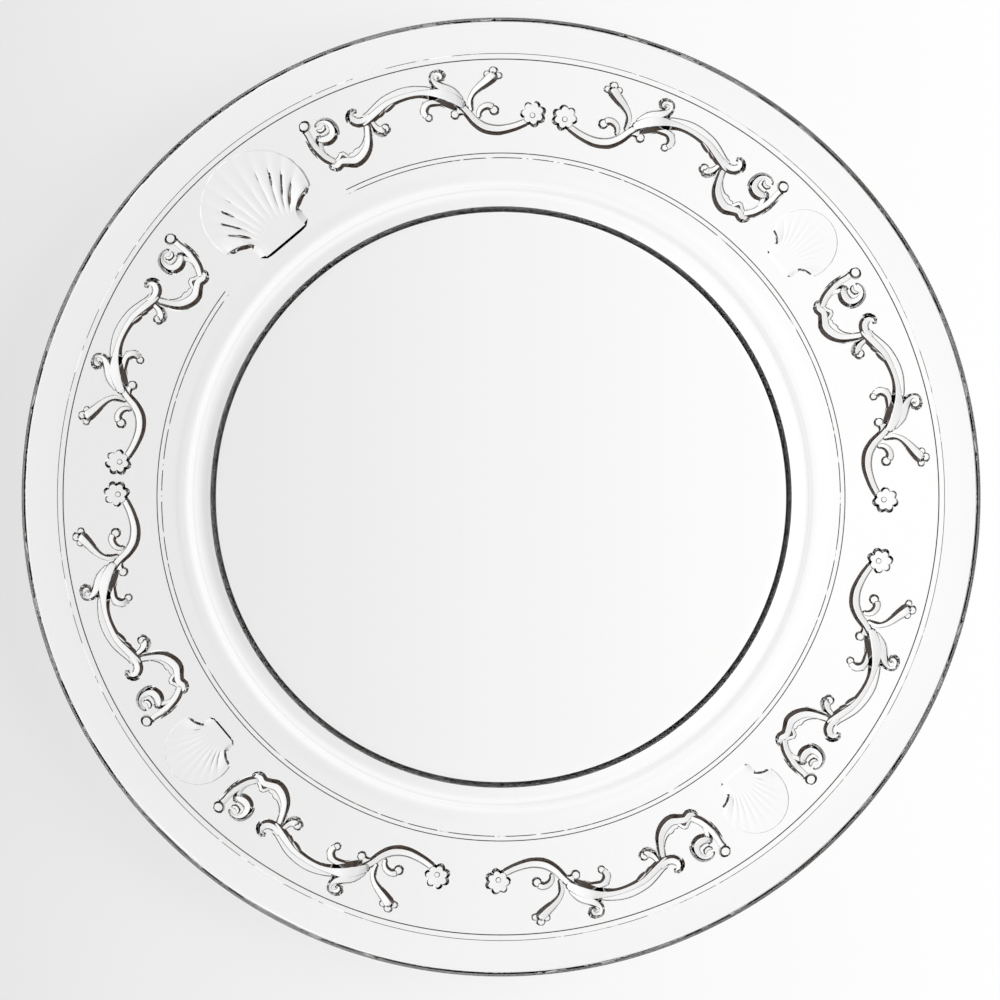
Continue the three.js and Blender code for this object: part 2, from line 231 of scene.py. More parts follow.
# The sprigs
# Eight scrolled sprigs in mirrored pairs, raised on the underside of the rim by the cut of the mould.
# Each stroke has a steep side, which turns the light back and looks dark, and a gentle bright side.
DRAWN_HALF_PAIR = 70
DRAWN_BAND = (97.2, 123.8)
# The turn about the plate's axis, in radians, for a millimetre of the drawing, and from the middle
# of a shell to the end of the sprig beside it.
SPRIG_TURN_PER_MM = 0.0089327
LARGE_SHELL_TURN = 0.19424
SMALL_SHELL_TURN = 0.1187
STROKE_STEP = 0.6
LEAST_END = 0.15
# Half widths out from the middle of a stroke and depths, both as shares of its half width.
STROKE_SECTION = [
    (-1, -0.5), (1.2, -0.5), (1.2, 0), (0.2, 1.22), (0.06, 1.24), (-0.4, 1.06), (-0.84, 0.82),
    (-0.88, 0.22), (-1.06, 0),
]
# The same for the thin edge of a broad leaf: a narrow steep side and a level top that runs far back.
EDGE_SECTION = [
    (-2.3, -0.5), (1, -0.5), (1, 0), (0.56, 0.53), (0.4, 0.6), (-2.2, 0.6), (-2.3, 0.5),
]
# A point is how far along the band it lies from the middle of a pair, its radius, and the stroke's
# half width there. The steep side is on the right of the way that a stroke is drawn.
SPRIG_STROKES = [
    # Tendril from the rosette to the stem.
    [(5.5, 106.4, 1.1), (9.5, 104.6, 1.2), (14.3, 103.6, 1.4), (18.5, 104.3, 1.5), (21.5, 106.4, 1.4),
     (23.4, 108.9, 1.3), (25.4, 111.4, 1.2)],
    # Main stem, arched along the band.
    [(23.8, 110.2, 1.2), (27, 112.8, 2.3), (30.3, 114.7, 2.4), (33.5, 115.8, 1.5), (37, 116.4, 1.1),
     (41, 116.3, 1.1), (45, 115.6, 1.3), (48.5, 114.1, 1.5), (51.5, 112.8, 1.4), (53.8, 112, 1)],
    # Broad leaf that ends in a hooked tip.
    [(24.3, 112.5, 0.6), (27.3, 115.4, 1.5), (30.5, 117.3, 1.5), (32, 119.4, 0.7), (31.7, 121.2, 0.6),
     (30.2, 121.4, 0.8), (29.4, 120.6, 1.1), (29.8, 119.6, 1), (30.7, 119.9, 0.6)],
    # Tulip bud, from its tip to its stalk.
    [(14.6, 120.2, 1.2), (15.7, 119.2, 1.7), (17.5, 117.6, 1.5), (19.6, 116, 1.2), (21.4, 114.2, 0.9),
     (22.3, 112, 0.8), (22, 109, 0.5)],
    # Curl above the tendril and the small hook beside it.
    [(15.6, 109.8, 1.3), (17.4, 110.6, 1.1), (19.2, 109.9, 1), (20, 108.4, 0.8), (19.8, 107, 0.5)],
    [(23, 107.8, 0.6), (25, 109.3, 0.8), (26.7, 108.9, 1.2)],
    # Leaf curled under the stem.
    [(27.5, 112.2, 0.7), (31, 112.8, 0.9), (33.8, 113, 1.1), (35.3, 111.8, 1.3), (35.3, 110.3, 1.1),
     (34.7, 109.2, 1.1)],
    # Two curls where the stem meets the scroll.
    [(47.2, 109.1, 1.2), (48.6, 108.6, 1.6), (50, 109.6, 1.2), (50.7, 111.3, 0.9), (50.9, 112.8, 0.7)],
    [(50, 114.2, 1.2), (52.6, 113.1, 1.3), (54.8, 113.5, 1.4), (55.9, 115, 1.3), (55.5, 116.4, 1),
     (54.4, 116.7, 0.8), (53.9, 115.9, 0.5)],
    # Teeth of the acanthus leaf on the stem.
    [(42.5, 116.2, 0.9), (45, 114.9, 1.1), (47, 113.8, 0.7)],
    [(45.5, 115.4, 1), (47.5, 113.9, 1.1), (49.2, 112.9, 0.7)],
    # The C-scroll at the shell's side, its frill, its rising arm and the stalk of its bud.
    [(52, 112.2, 1), (52.8, 109, 1.2), (54.1, 106, 1.5), (56.4, 104, 1.7), (59.2, 103.2, 1.7),
     (61.6, 104, 1.5), (63.3, 104.6, 1.4), (64.9, 104.1, 1.4), (66.2, 104.7, 1.1), (66.5, 106, 0.7)],
    [(60.5, 103.8, 0.6), (61.2, 105.4, 0.7), (62.2, 106.7, 0.8), (63.3, 106, 0.7), (65.2, 105.1, 0.7)],
    [(64.8, 104.8, 1.1), (67, 107.6, 1.3), (68.2, 110.8, 1.3), (68.6, 113.5, 1.1), (68.6, 116, 1),
     (68.8, 117.6, 1.1)],
    [(66.4, 107.5, 0.5), (67.2, 110.2, 0.9), (66.4, 112.8, 1), (65.6, 114.6, 0.6)],
    # The bud beside the shell, round its outer side, and the volute inside it.
    [(65.9, 117, 0.4), (63.8, 117.9, 0.6), (62, 116.9, 0.9), (61.4, 114.8, 1.2), (62.1, 112.9, 1.5),
     (64, 112.2, 1.6), (66, 112.8, 1.3), (66.9, 114, 0.7)],
    [(63.3, 116.6, 0.4), (63.8, 115.5, 0.6), (65, 115.3, 0.6), (65.8, 116.2, 0.4)],
]
# A boss is its place, radius, number of lobes, how deep they are cut and how deep it is seated.
SPRIG_BOSSES = [
    (4.2, 108.5, 3.9, 7, 0.7, 0),
    (4.3, 108.2, 1, 0, 0, 1.1),
    (14.2, 119.2, 1.1, 0, 0, 0),
    (15.6, 120.6, 1.3, 0, 0, 0),
    (17.2, 119.7, 1.1, 0, 0, 0),
    (15.5, 109.2, 1.5, 0, 0, 0),
    (26.9, 108.7, 1.5, 0, 0, 0),
    (34.6, 108.9, 1.2, 0, 0, 0),
    (47.6, 108.9, 1.6, 0, 0, 0),
    (68.2, 118.5, 1.7, 0, 0, 0),
]
# Thin edges: the back of the stem, the inside of the C-scroll, the bud and the curled leaf.
SPRIG_EDGES = [
    [(53, 114.3, 0.6), (51.3, 114.5, 0.8), (49.8, 115.3, 0.8), (47.8, 116.4, 0.8), (46, 117.25, 0.8),
     (44, 117.8, 0.8), (42, 118.2, 0.8), (40, 118.35, 0.8), (38, 118.25, 0.8), (36, 117.85, 0.8),
     (34, 117.3, 0.8), (32.4, 116.8, 0.6)],
    [(60.7, 104.6, 0.5), (59.9, 105.5, 0.6), (58.9, 105.3, 0.6), (58, 106, 0.7), (56.9, 105.8, 0.8),
     (55.1, 106.8, 0.8), (53.7, 108.5, 0.8), (52.9, 110.5, 0.8), (52.6, 112.6, 0.7)],
    [(22.3, 114, 0.5), (19.9, 115.9, 0.6), (18.2, 117.9, 0.6), (17.4, 119.3, 0.5)],
    [(35.2, 108.6, 0.5), (36, 110, 0.6), (36.3, 111.3, 0.6), (35.5, 112.8, 0.6), (34.8, 113.9, 0.5)],
]
# Rings of a boss from its foot to its top: how far in they lie and how deep, for a full-sized one.
BOSS_RINGS = [(0, -0.5), (0, 0), (0.8, 1.36), (1, 1.4)]
BOSS_FULL_RADIUS = 2.2
BOSS_LEAN = (0.25, 0.45)
LOBE_STEPS = 8
PLAIN_STEPS = 22


def bosses(name, places):
    """Round bosses with a lobed edge, their tops leaning outwards, as one mesh."""
    vertices = []
    faces = []
    for along, radius, size, lobes, lobe_depth, seat in places:
        first = len(vertices)
        steps = lobes * LOBE_STEPS or PLAIN_STEPS
        full = min(1, size / BOSS_FULL_RADIUS)
        for inset, depth in BOSS_RINGS:
            for step in range(steps):
                angle = 2 * math.pi * step / steps
                reach = size - lobe_depth * (1 - abs(math.cos(lobes * angle / 2))) - inset * full
                vertices.append((
                    (along + reach * math.cos(angle) + BOSS_LEAN[0] * inset * full) * MM,
                    (radius + reach * math.sin(angle) + BOSS_LEAN[1] * inset * full) * MM,
                    -(seat + depth * full) * MM,
                ))
        rings = [range(first + ring * steps, first + (ring + 1) * steps) for ring in range(len(BOSS_RINGS))]
        faces.append(list(rings[0]))
        faces.append(list(reversed(rings[-1])))
        for lower, upper in zip(rings, rings[1:]):
            for step in range(steps):
                after = (step + 1) % steps
                faces.append((lower[after], lower[step], upper[step], upper[after]))
    mesh = bpy.data.meshes.new(name)
    mesh.from_pydata(vertices, [], faces)
    return linked(name, mesh)


section = drawn("stroke section", [STROKE_SECTION], closed=True)
edge_section = drawn("edge section", [EDGE_SECTION], closed=True)
edges = drawn("sprig edges", SPRIG_EDGES, half_width=2)
round_parts = bosses("sprig bosses", SPRIG_BOSSES)
places = []
for quarter in range(4):
    middle = quarter * math.pi / 2
    aside = LARGE_SHELL_TURN if quarter == 1 else SMALL_SHELL_TURN
    places += [(0, 0, middle + aside, 0), (0, 0, middle - aside, 1)]
spots = drawn("sprig places", [[place] for place in places], turn=2, mirrored=3)

pressing, given, result = new_tree(
    "pressed sprigs", section=section, edges=edges, edge_section=edge_section, bosses=round_parts,
    places=spots, step=0.0, half_pair=0.0, turn_per_metre=0.0, drawn_inner=0.0, inner=0.0,
    spread=0.0, seat=0.0, slope=0.0,
)
forms = add(pressing, "GeometryNodeJoinGeometry")
edge_shape = add(pressing, "GeometryNodeObjectInfo", {"Object": given.outputs["edges"]})
drawings = (given.outputs["Geometry"], "section"), (edge_shape.outputs["Geometry"], "edge_section")
for drawing, section_name in drawings:
    lines = add(pressing, "GeometryNodeMeshToCurve", {"Mesh": drawing})
    smooth = add(pressing, "GeometryNodeCurveSplineType", {
        "Curve": lines.outputs["Curve"],
    }, spline_type="CATMULL_ROM")
    even = add(pressing, "GeometryNodeResampleCurve", {
        "Curve": smooth.outputs["Curve"], "Length": given.outputs["step"],
    }, mode="LENGTH")
    flat = add(pressing, "GeometryNodeSetCurveNormal", {"Curve": even.outputs["Curve"]}, mode="Z_UP")
    half_width = add(pressing, "GeometryNodeInputNamedAttribute", {"Name": "half_width"}, data_type="FLOAT")
    # Near its ends a stroke is as wide as a circle of its half width would be, so they are round.
    reach = add(pressing, "GeometryNodeSplineParameter")
    whole = add(pressing, "GeometryNodeSplineLength")
    back = add(pressing, "ShaderNodeMath", {
        0: whole.outputs["Length"], 1: reach.outputs["Length"],
    }, operation="SUBTRACT")
    to_end = add(pressing, "ShaderNodeMath", {
        0: reach.outputs["Length"], 1: back.outputs[0],
    }, operation="MINIMUM")
    end_size = add(pressing, "ShaderNodeMath", {
        0: half_width.outputs["Attribute"], 1: MM,
    }, operation="MULTIPLY")
    share = add(pressing, "ShaderNodeMath", {
        0: to_end.outputs[0], 1: end_size.outputs[0],
    }, operation="DIVIDE", use_clamp=True)
    rest = add(pressing, "ShaderNodeMath", {0: 2.0, 1: share.outputs[0]}, operation="SUBTRACT")
    square = add(pressing, "ShaderNodeMath", {
        0: share.outputs[0], 1: rest.outputs[0],
    }, operation="MULTIPLY")
    round_end = add(pressing, "ShaderNodeMath", {0: square.outputs[0]}, operation="SQRT")
    blunt = add(pressing, "ShaderNodeMath", {0: round_end.outputs[0], 1: LEAST_END}, operation="MAXIMUM")
    size = add(pressing, "ShaderNodeMath", {
        0: half_width.outputs["Attribute"], 1: blunt.outputs[0],
    }, operation="MULTIPLY")
    section_shape = add(pressing, "GeometryNodeObjectInfo", {"Object": given.outputs[section_name]})
    section_curve = add(pressing, "GeometryNodeMeshToCurve", {"Mesh": section_shape.outputs["Geometry"]})
    strokes = add(pressing, "GeometryNodeCurveToMesh", {
        "Curve": flat.outputs["Curve"],
        "Profile Curve": section_curve.outputs["Curve"],
        "Scale": size.outputs[0],
        "Fill Caps": True,
    })
    pressing.links.new(strokes.outputs["Mesh"], forms.inputs["Geometry"])
boss_shape = add(pressing, "GeometryNodeObjectInfo", {"Object": given.outputs["bosses"]})
pressing.links.new(boss_shape.outputs["Geometry"], forms.inputs["Geometry"])
island = add(pressing, "GeometryNodeInputMeshIsland")
apart = add(pressing, "GeometryNodeSplitToInstances", {
    "Geometry": forms.outputs["Geometry"], "Group ID": island.outputs["Island Index"],
}, domain="POINT")
sprig = add(pressing, "GeometryNodeMeshBoolean", {
    "Mesh 2": apart.outputs["Instances"],
}, operation="UNION", solver="MANIFOLD")

# The flat drawing is bent round the band: along becomes an angle, and out becomes a radius on the
# cone of the rim's underside. The mirrored sprig runs the other way round.
place = add(pressing, "GeometryNodeInputPosition")
parts = add(pressing, "ShaderNodeSeparateXYZ", {0: place.outputs[0]})
along = add(pressing, "ShaderNodeMath", {
    0: given.outputs["half_pair"], 1: parts.outputs["X"],
}, operation="SUBTRACT")
angle = add(pressing, "ShaderNodeMath", {
    0: along.outputs[0], 1: given.outputs["turn_per_metre"],
}, operation="MULTIPLY")
out = add(pressing, "ShaderNodeMath", {
    0: parts.outputs["Y"], 1: given.outputs["drawn_inner"],
}, operation="SUBTRACT")
radius = add(pressing, "ShaderNodeMath", {
    0: out.outputs[0], 1: given.outputs["spread"], 2: given.outputs["inner"],
}, operation="MULTIPLY_ADD")
seat = add(pressing, "ShaderNodeMath", {
    0: radius.outputs[0], 1: given.outputs["slope"], 2: given.outputs["seat"],
}, operation="MULTIPLY_ADD")
height = add(pressing, "ShaderNodeMath", {0: seat.outputs[0], 1: parts.outputs["Z"]}, operation="ADD")
variants = add(pressing, "GeometryNodeJoinGeometry")
for mirrored in (True, False):
    turn = add(pressing, "ShaderNodeMath", {
        0: angle.outputs[0], 1: -1 if mirrored else 1,
    }, operation="MULTIPLY")
    cosine = add(pressing, "ShaderNodeMath", {0: turn.outputs[0]}, operation="COSINE")
    sine = add(pressing, "ShaderNodeMath", {0: turn.outputs[0]}, operation="SINE")
    x = add(pressing, "ShaderNodeMath", {
        0: radius.outputs[0], 1: cosine.outputs[0],
    }, operation="MULTIPLY")
    y = add(pressing, "ShaderNodeMath", {
        0: radius.outputs[0], 1: sine.outputs[0],
    }, operation="MULTIPLY")
    bent = add(pressing, "ShaderNodeCombineXYZ", {
        "X": x.outputs[0], "Y": y.outputs[0], "Z": height.outputs[0],
    })
    laid = add(pressing, "GeometryNodeSetPosition", {
        "Geometry": sprig.outputs["Mesh"], "Position": bent.outputs[0],
    })
    shape = laid.outputs["Geometry"]
    if mirrored:
        shape = add(pressing, "GeometryNodeFlipFaces", {"Mesh": shape}).outputs["Mesh"]
    single = add(pressing, "GeometryNodeGeometryToInstance")
    pressing.links.new(shape, single.inputs["Geometry"])
    pressing.links.new(single.outputs["Instances"], variants.inputs["Geometry"])
spot_points = add(pressing, "GeometryNodeObjectInfo", {"Object": given.outputs["places"]})
turn_value = add(pressing, "GeometryNodeInputNamedAttribute", {"Name": "turn"}, data_type="FLOAT")
side_value = add(pressing, "GeometryNodeInputNamedAttribute", {"Name": "mirrored"}, data_type="FLOAT")
about_axis = add(pressing, "ShaderNodeCombineXYZ", {"Z": turn_value.outputs["Attribute"]})
rotation = add(pressing, "FunctionNodeEulerToRotation", {"Euler": about_axis.outputs[0]})
copies = add(pressing, "GeometryNodeInstanceOnPoints", {
    "Points": spot_points.outputs["Geometry"],
    "Instance": variants.outputs["Geometry"],
    "Pick Instance": True,
    "Instance Index": side_value.outputs["Attribute"],
    "Rotation": rotation.outputs["Rotation"],
})
real = add(pressing, "GeometryNodeRealizeInstances", {"Geometry": copies.outputs["Instances"]})
pressing.links.new(real.outputs["Geometry"], result.inputs["Geometry"])
sprigs = grown(
    drawn("sprig strokes", SPRIG_STROKES, half_width=2),
    pressing,
    "sprig_relief",
    section=section,
    edges=edges,
    edge_section=edge_section,
    bosses=round_parts,
    places=spots,
    step=STROKE_STEP * MM,
    half_pair=DRAWN_HALF_PAIR * MM,
    turn_per_metre=SPRIG_TURN_PER_MM / MM,
    drawn_inner=DRAWN_BAND[0] * MM,
    inner=inner_bead_outer * MM,
    spread=(bead_inner - inner_bead_outer) / (DRAWN_BAND[1] - DRAWN_BAND[0]),
    seat=rim_underside(0) * MM,
    slope=math.tan(RIM_SLOPE),
)

# The inner bead
# A raised thread of glass round the inner side of the ornament. It stops on either side of the
# large shell, where the mould was cut for the shell's hinge.
INNER_BEAD_FOOT = -0.85, 0.7
INNER_BEAD_EMBED = 0.5
INNER_BEAD_WALL = 0.28
INNER_BEAD_DEPTH = 0.34
INNER_BEAD_STEP = 0.24
INNER_BEAD_STEP_DEPTH = 0.25
# The opening on each side is counted in steps of the turned body, so that their facets line up.
OPENING_STEPS = 15.5
turned_step = 2 * math.pi / TURNED_STEPS
bead_radius = inner_bead_outer - BEAD_WIDTH / 2


def bead_point(offset, depth):
    """A corner of the bead's section, from the middle of its seat on the cone, drawn downwards."""
    return offset, depth - rim_underside(bead_radius + offset)


foot_inner, foot_outer = INNER_BEAD_FOOT
bead_section = drawn("bead section", [[
    bead_point(foot_inner, -INNER_BEAD_EMBED),
    bead_point(foot_outer, -INNER_BEAD_EMBED),
    bead_point(foot_outer, 0),
    bead_point(foot_outer - INNER_BEAD_STEP, INNER_BEAD_STEP_DEPTH),
    bead_point(foot_inner + INNER_BEAD_WALL, INNER_BEAD_DEPTH),
    bead_point(foot_inner, 0),
]], closed=True)
threading, given, result = new_tree(
    "inner bead", section=bead_section, radius=0.0, start=0.0, sweep=0.0, steps=1,
)
arc = add(threading, "GeometryNodeCurveArc", {
    "Resolution": given.outputs["steps"],
    "Radius": given.outputs["radius"],
    "Start Angle": given.outputs["start"],
    "Sweep Angle": given.outputs["sweep"],
}, mode="RADIUS")
upright = add(threading, "GeometryNodeSetCurveNormal", {"Curve": arc.outputs["Curve"]}, mode="Z_UP")
section_shape = add(threading, "GeometryNodeObjectInfo", {"Object": given.outputs["section"]})
section_curve = add(threading, "GeometryNodeMeshToCurve", {"Mesh": section_shape.outputs["Geometry"]})
thread = add(threading, "GeometryNodeCurveToMesh", {
    "Curve": upright.outputs["Curve"],
    "Profile Curve": section_curve.outputs["Curve"],
    "Fill Caps": True,
})
threading.links.new(thread.outputs["Mesh"], result.inputs["Geometry"])
inner_bead = grown(
    linked("bead seed", bpy.data.meshes.new("bead seed")),
    threading,
    "inner_thread",
    section=bead_section,
    radius=bead_radius * MM,
    start=math.pi / 2 + OPENING_STEPS * turned_step,
    sweep=(TURNED_STEPS - 2 * OPENING_STEPS) * turned_step,
    steps=int(TURNED_STEPS - 2 * OPENING_STEPS) + 1,
)
# The scallop shells
# One large and three small shells, each a low fan of eleven ribs that spread from a straight hinge.
# Only the hinge, the notches beside the neck and, on the large one, short grooves at the ends of the
# valleys are steep, so the rest stays soft and bright.
SHELL_VALLEYS = 5
VALLEY_SPACING = 0.17
FAN_RADIUS = 15.3
FAN_MIDDLE = 13.4
FAN_REACH = math.radians(110)
HINGE_HALF_WIDTH = 6.9
NECK_HALF_WIDTH = 5.2
NECK_OUT = 7.4
HINGE_WALL = 0.9
SHELL_HEIGHT = FAN_MIDDLE + FAN_RADIUS + HINGE_WALL
CROWN = 1.15
EDGE_DEPTH = 0.12
EDGE_SIDE_DEPTH = 0.3
LEAST_DEPTH = 0.05
RIB_DEPTH = 0.78
RIB_COLUMNS = 10
SIDE_COLUMNS = 6
SHOULDER = 0.9
# Shares of the way up, or to the side of, the fan between which each form sets in or dies away.
CROWN_FALL = (0.3, 1.1)
RIB_RISE = (0.3, 0.6)
RIB_FALL = (0.65, 1)
SHOULDER_SIDE = (0.8, 1)
SHOULDER_RISE = (0.4, 0.65)
SHOULDER_FALL = (0.85, 1)
EAR_SIDE = (0.7, 1)
EAR_END = (0.25, 0.45)
NOTCH_START = (0.34, 0.46)
NOTCH_END = (0.8, 0.95)
# Shares of the ribs' depth lost at the edge and kept in the middle, and of the crown lost at an ear.
RIB_FADE = 0.75
RIB_MIDDLE = 0.35
EAR_CUT = 0.2
# Valleys, counted from the middle, that end in a sharp groove, and how far up it runs.
GROOVES = {1: (0.76, 0.83), 2: (0.69, 0.86), 3: (0.64, 0.86), 4: (0.64, 0.8)}
NO_GROOVE = (1, 0)
GROOVE_SLOPE = 0.9
GROOVE_LEAST = 0.02
ON_VALLEY = 0.01
SHELL_ROWS = 32
DARK_WALL = 51
SOFT_WALL = 36
EAR_WALL = 27
SKIRT_RISE = 0.02
SHELL_EMBED = 0.6
# The turn of each shell on the rim, the share of the full rib depth and the slope of the hinge.
LARGE_SHELL = (90, 1, DARK_WALL)
SMALL_SHELLS = [(0, 0.5, 36), (180, 0.75, DARK_WALL), (270, 0.65, 38)]


def ease(start, end, value):
    """Rises smoothly from 0 at the start to 1 at the end."""
    share = min(1, max(0, (value - start) / (end - start)))
    return share * share * (3 - 2 * share)


def fan_point(across, up):
    """A place on the shell for shares across (-1 to 1) and up (0 to 1) the fan: a curve for each rib."""
    turn = across * FAN_REACH
    ends = (HINGE_HALF_WIDTH * across, 0), (NECK_HALF_WIDTH * across, NECK_OUT)
    tip = FAN_RADIUS * math.sin(turn), FAN_MIDDLE + FAN_RADIUS * math.cos(turn)
    weights = (1 - up) ** 2, 2 * up * (1 - up), up ** 2
    return [sum(weight * point[axis] for weight, point in zip(weights, (*ends, tip))) for axis in (0, 1)]


def fan_depth(across, up, rib_share):
    """How deep the shell is cut: a low crown that falls to the edge, with ribs that grow outwards."""
    side = abs(across)
    edge = EDGE_DEPTH + EDGE_SIDE_DEPTH * side * side
    crown = edge + (CROWN - edge) * math.cos(math.pi / 2 * ease(*CROWN_FALL, up))
    inner = side < SHELL_VALLEYS * VALLEY_SPACING
    valley = 1 - abs(math.cos(math.pi * side / VALLEY_SPACING)) if inner else 0
    growth = ease(*RIB_RISE, up) * (1 - RIB_FADE * ease(*RIB_FALL, up))
    growth *= RIB_MIDDLE + (1 - RIB_MIDDLE) * side
    shoulder = SHOULDER * rib_share * ease(*SHOULDER_SIDE, side)
    shoulder *= ease(*SHOULDER_RISE, up) * (1 - ease(*SHOULDER_FALL, up))
    ear = 1 - EAR_CUT * ease(*EAR_SIDE, side) * (1 - ease(*EAR_END, up))
    return max(LEAST_DEPTH, (crown + shoulder) * ear - RIB_DEPTH * rib_share * growth * valley)


def wall_slope(up, hinge_wall):
    """The wall round the shell is soft at the ears and the edge, and dark at the hinge and notches."""
    if up == 0:
        return math.tan(math.radians(hinge_wall))
    to_notch = ease(*NOTCH_START, up)
    to_edge = ease(*NOTCH_END, up)
    degrees = EAR_WALL + (DARK_WALL - EAR_WALL) * to_notch + (SOFT_WALL - DARK_WALL) * to_edge
    return math.tan(math.radians(degrees))


half_fan = [VALLEY_SPACING * i / RIB_COLUMNS for i in range(SHELL_VALLEYS * RIB_COLUMNS)]
half_fan += [float(share) for share in np.linspace(SHELL_VALLEYS * VALLEY_SPACING, 1, SIDE_COLUMNS + 1)]
fan_shares = [-share for share in reversed(half_fan[1:])] + half_fan


def shell(name, width, height, hinge_radius, turn, rib_share, hinge_wall):
    """One shell, stretched to its width and height and set on the rim at an angle."""
    stretch = width / (2 * FAN_RADIUS), height / SHELL_HEIGHT
    row = len(fan_shares)
    columns = row - 1
    last = SHELL_ROWS
    grid = [(share, j / last) for j in range(last + 1) for share in fan_shares]
    flat = [fan_point(*shares) for shares in grid]
    depths = [fan_depth(*shares, rib_share) * stretch[1] for shares in grid]
    flat = [(x * stretch[0], (y + HINGE_WALL) * stretch[1]) for x, y in flat]
    for here, (across, up) in enumerate(grid):
        # Only a shell with ribs of full depth has the grooves.
        valley = abs(across) / VALLEY_SPACING - 0.5
        start, end = GROOVES.get(round(valley), NO_GROOVE)
        if abs(valley - round(valley)) < ON_VALLEY and start < up < end and rib_share == 1:
            gap = (Vector(flat[here + 1]) - Vector(flat[here])).length
            depths[here] = max(GROOVE_LEAST, depths[here] - GROOVE_SLOPE * gap)
    border = [i for i in range(row)]
    border += [j * row + columns for j in range(1, last + 1)]
    border += [last * row + i for i in range(columns - 1, -1, -1)]
    border += [j * row for j in range(last - 1, 0, -1)]
    foot = []
    for before, here, after in zip(border[-1:] + border[:-1], border, border[1:] + border[:1]):
        along = Vector(flat[after]) - Vector(flat[before])
        aside = Vector((along.y, -along.x)).normalized()
        foot.append(Vector(flat[here]) + aside * depths[here] / wall_slope(grid[here][1], hinge_wall))
    places = [(*point, -depth) for point, depth in zip(flat, depths)]
    places += [(*point, SKIRT_RISE) for point in foot]
    places += [(*point, SHELL_EMBED) for point in foot]
    vertices = []
    for x, y, rise in places:
        reach = math.hypot(x, hinge_radius + y)
        angle = math.radians(turn) + math.atan2(x, hinge_radius + y)
        level = rim_underside(reach) + rise
        vertices.append((reach * math.cos(angle) * MM, reach * math.sin(angle) * MM, level * MM))
    faces = []
    for j in range(last):
        for i in range(columns):
            a = j * row + i
            faces.append((a, a + 1, a + row + 1, a + row))
    skirt = len(grid)
    back = skirt + len(border)
    for k in range(len(border)):
        after = (k + 1) % len(border)
        faces.append((border[after], border[k], skirt + k, skirt + after))
        faces.append((skirt + after, skirt + k, back + k, back + after))
    faces.append([back + k for k in reversed(range(len(border)))])
    mesh = bpy.data.meshes.new(name)
    mesh.from_pydata(vertices, [], faces)
    return linked(name, mesh)


large_low, large_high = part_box("large_shell_top")
small_low, small_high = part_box("small_shell_right")
large_size = (large_high[0] - large_low[0]) / MM, (large_high[1] - large_low[1]) / MM
small_size = (small_high[1] - small_low[1]) / MM, (small_high[0] - small_low[0]) / MM
shells = [shell("large shell", *large_size, large_low[1] / MM, *LARGE_SHELL)]
for place in SMALL_SHELLS:
    shells.append(shell("small shell", *small_size, small_low[0] / MM, *place))


# The pressed plate
# All of it is one piece of glass, so the body and the ornament are joined into one closed skin.
# Clear soda-lime glass, fire polished: the faces are smooth with a faint wave, and nearly colourless.
# Only the steep wall of the base keeps the fine grain of the mould.
WAVE_LENGTH = 22 * MM
WAVE_HEIGHT = 0.2 * MM
WAVE_STRENGTH = 0.1
GRAIN_SIZE = 0.3 * MM
GRAIN_HEIGHT = 0.09 * MM
WALL_GRAIN = 0.6
WALL_STEEP = 0.8
SHARP_FROM = math.radians(25)


def linear(code):
    """The linear colour of an sRGB hex code."""
    shares = [int(code[i:i + 2], 16) / 255 for i in (1, 3, 5)]
    tones = [share / 12.92 if share <= 0.04045 else ((share + 0.055) / 1.055) ** 2.4 for share in shares]
    return tones + [1]


glass = bpy.data.materials.new("pressed_soda_lime_glass")
glass.use_nodes = True
tree = glass.node_tree
tree.nodes.clear()
where = add(tree, "ShaderNodeTexCoord")
wave = add(tree, "ShaderNodeTexNoise", {
    "Vector": where.outputs["Object"], "Scale": 1 / WAVE_LENGTH, "Detail": 1.0,
})
ripple = add(tree, "ShaderNodeBump", {
    "Height": wave.outputs[0], "Strength": WAVE_STRENGTH, "Distance": WAVE_HEIGHT,
})
grit = add(tree, "ShaderNodeTexNoise", {
    "Vector": where.outputs["Object"], "Scale": 1 / GRAIN_SIZE, "Detail": 1.0,
})
steep_wall = add(tree, "ShaderNodeAttribute", attribute_name="mould_wall")
rough = add(tree, "ShaderNodeBump", {
    "Height": grit.outputs[0],
    "Strength": steep_wall.outputs["Fac"],
    "Distance": GRAIN_HEIGHT,
    "Normal": ripple.outputs[0],
})
surface = add(tree, "ShaderNodeBsdfPrincipled", {
    "Base Color": linear("#ffffff"),
    "Roughness": 0.0,
    "IOR": 1.52,
    "Transmission Weight": 1.0,
    "Normal": rough.outputs[0],
})
tint = add(tree, "ShaderNodeVolumeAbsorption", {"Color": linear("#e6efe9"), "Density": 4.0})
add(tree, "ShaderNodeOutputMaterial", {"Surface": surface.outputs[0], "Volume": tint.outputs[0]})

moulding = {f"form_{i}": form for i, form in enumerate((sprigs, inner_bead, *shells))}
uniting, given, result = new_tree("pressed plate", glass=glass, **moulding)
union = add(uniting, "GeometryNodeMeshBoolean", operation="UNION", solver="MANIFOLD")
uniting.links.new(given.outputs["Geometry"], union.inputs["Mesh 2"])
for label in moulding:
    form = add(uniting, "GeometryNodeObjectInfo", {"Object": given.outputs[label]})
    uniting.links.new(form.outputs["Geometry"], union.inputs["Mesh 2"])
whole = add(uniting, "GeometryNodeRealizeInstances", {"Geometry": union.outputs["Mesh"]})
finished = add(uniting, "GeometryNodeSetMaterial", {
    "Geometry": whole.outputs["Geometry"], "Material": given.outputs["glass"],
})
uniting.links.new(finished.outputs["Geometry"], result.inputs["Geometry"])
plate = grown(body, uniting, "pressed_glass_plate", glass=glass, **moulding)
for form in (*moulding.values(), section, edges, edge_section, round_parts, spots, bead_section):
    bpy.data.objects.remove(form)
for face in plate.data.polygons:
    face.use_smooth = True
plate.data.set_sharp_from_angle(angle=SHARP_FROM)
